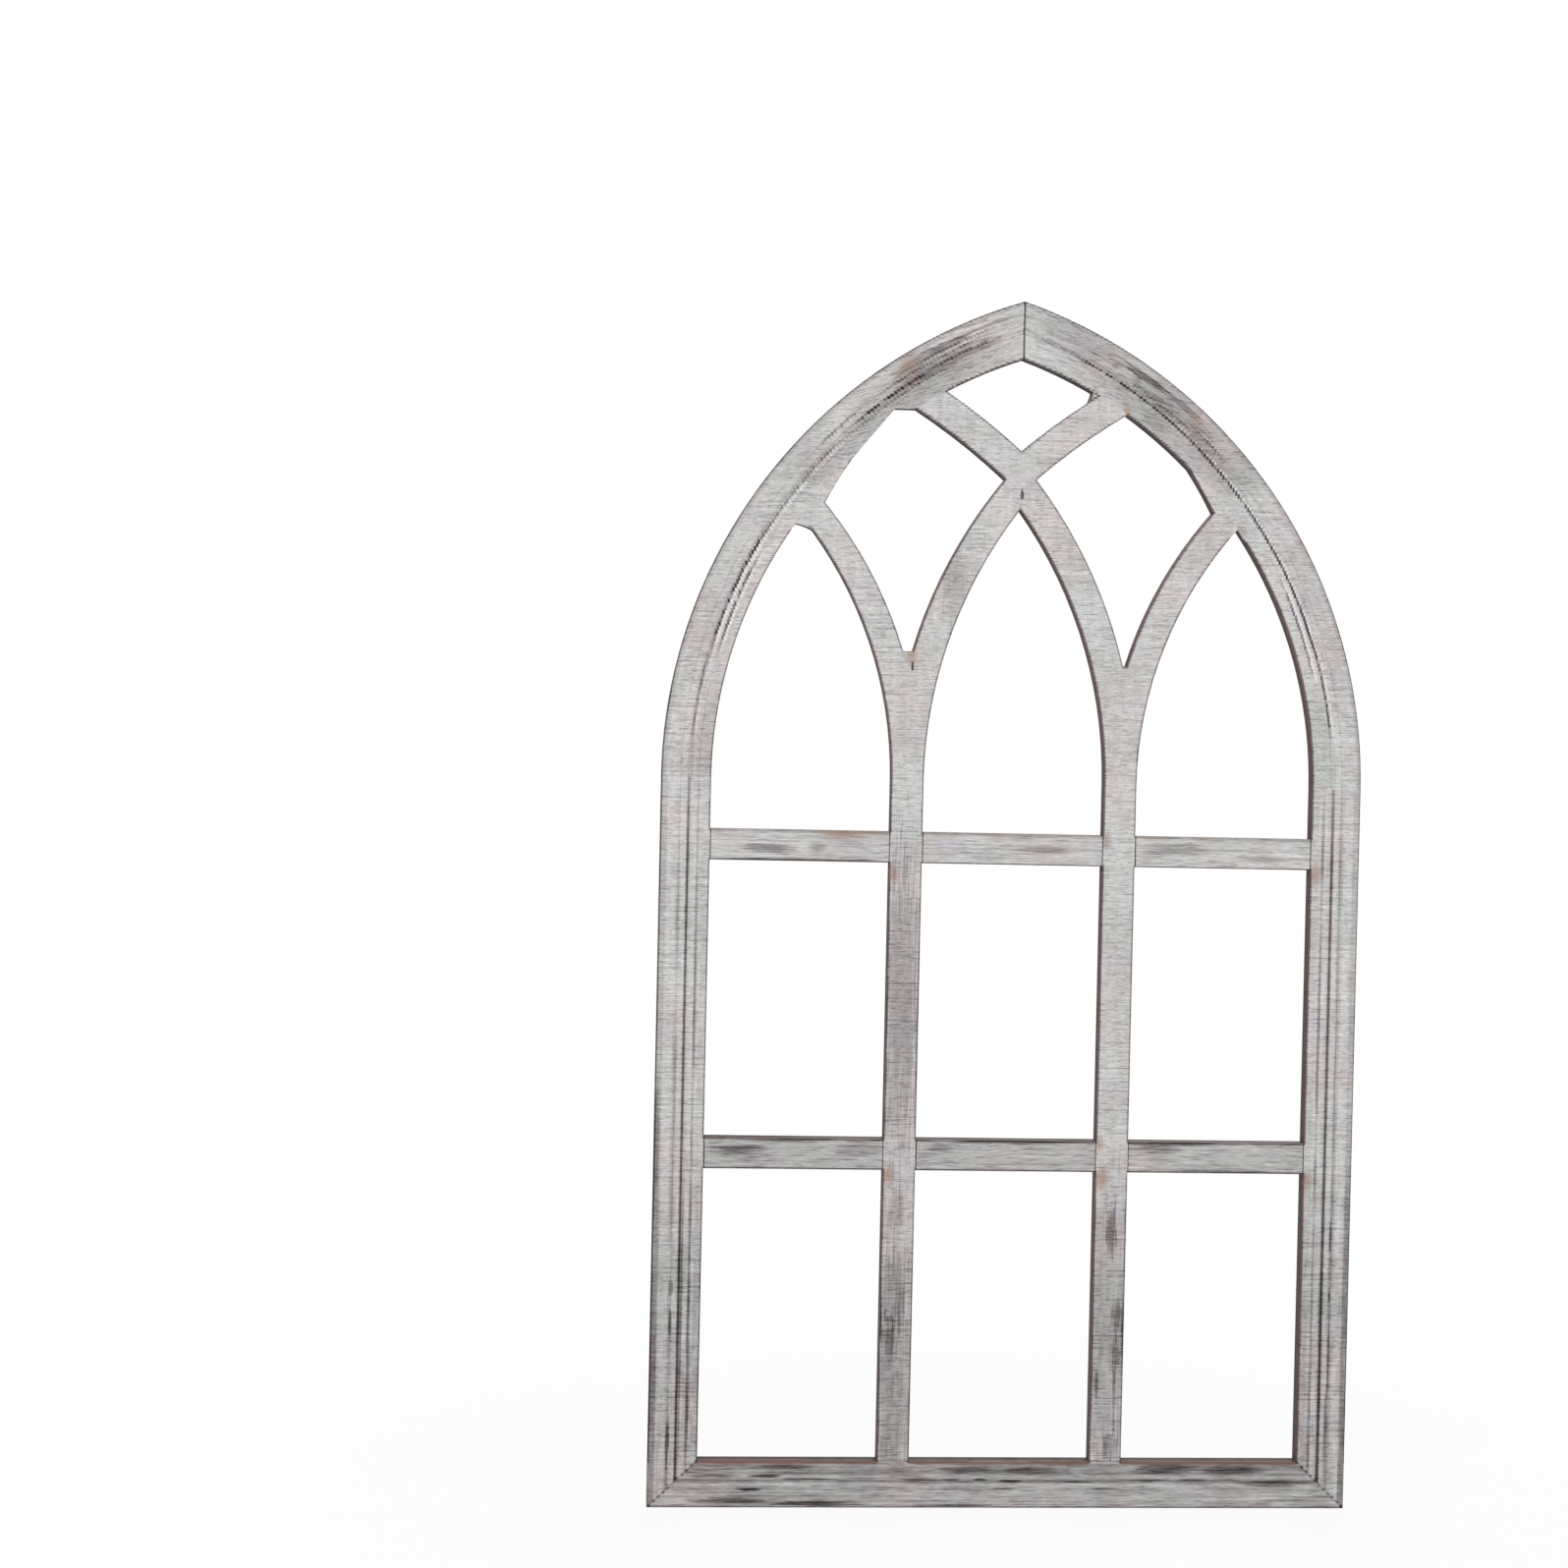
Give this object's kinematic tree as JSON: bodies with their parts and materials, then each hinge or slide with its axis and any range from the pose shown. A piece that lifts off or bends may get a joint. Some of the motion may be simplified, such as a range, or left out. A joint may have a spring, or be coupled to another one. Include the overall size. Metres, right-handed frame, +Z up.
{
  "type": "arched top window frame",
  "caption": "Pointed-arch wooden window frame with a moulded surround, slim mullions, muntins and crossing tracery arms, unglazed, to hang flat on a wall.",
  "frame": {"origin": "middle of the bottom edge of the back face, which lies against the wall", "axes": "+Z up, +X to the right seen from the front, +Y out of the back into the wall; the front faces -Y"},
  "size_m": [0.45, 0.011, 0.7713],
  "materials": {
    "whitewashed_frame": "distressed whitewash",
    "whitewashed_tracery": "distressed whitewash",
    "whitewashed_muntin": "distressed whitewash"
  },
  "bodies": {
    "root": {"left_stile": "whitewashed_frame", "right_stile": "whitewashed_frame", "bottom_rail": "whitewashed_frame", "left_arch": "whitewashed_frame", "right_arch": "whitewashed_frame", "left_tracery": "whitewashed_tracery", "right_tracery": "whitewashed_tracery", "lower_left_muntin": "whitewashed_muntin", "lower_centre_muntin": "whitewashed_muntin", "lower_right_muntin": "whitewashed_muntin", "upper_left_muntin": "whitewashed_muntin", "upper_centre_muntin": "whitewashed_muntin", "upper_right_muntin": "whitewashed_muntin"}
  },
  "joints": []
}
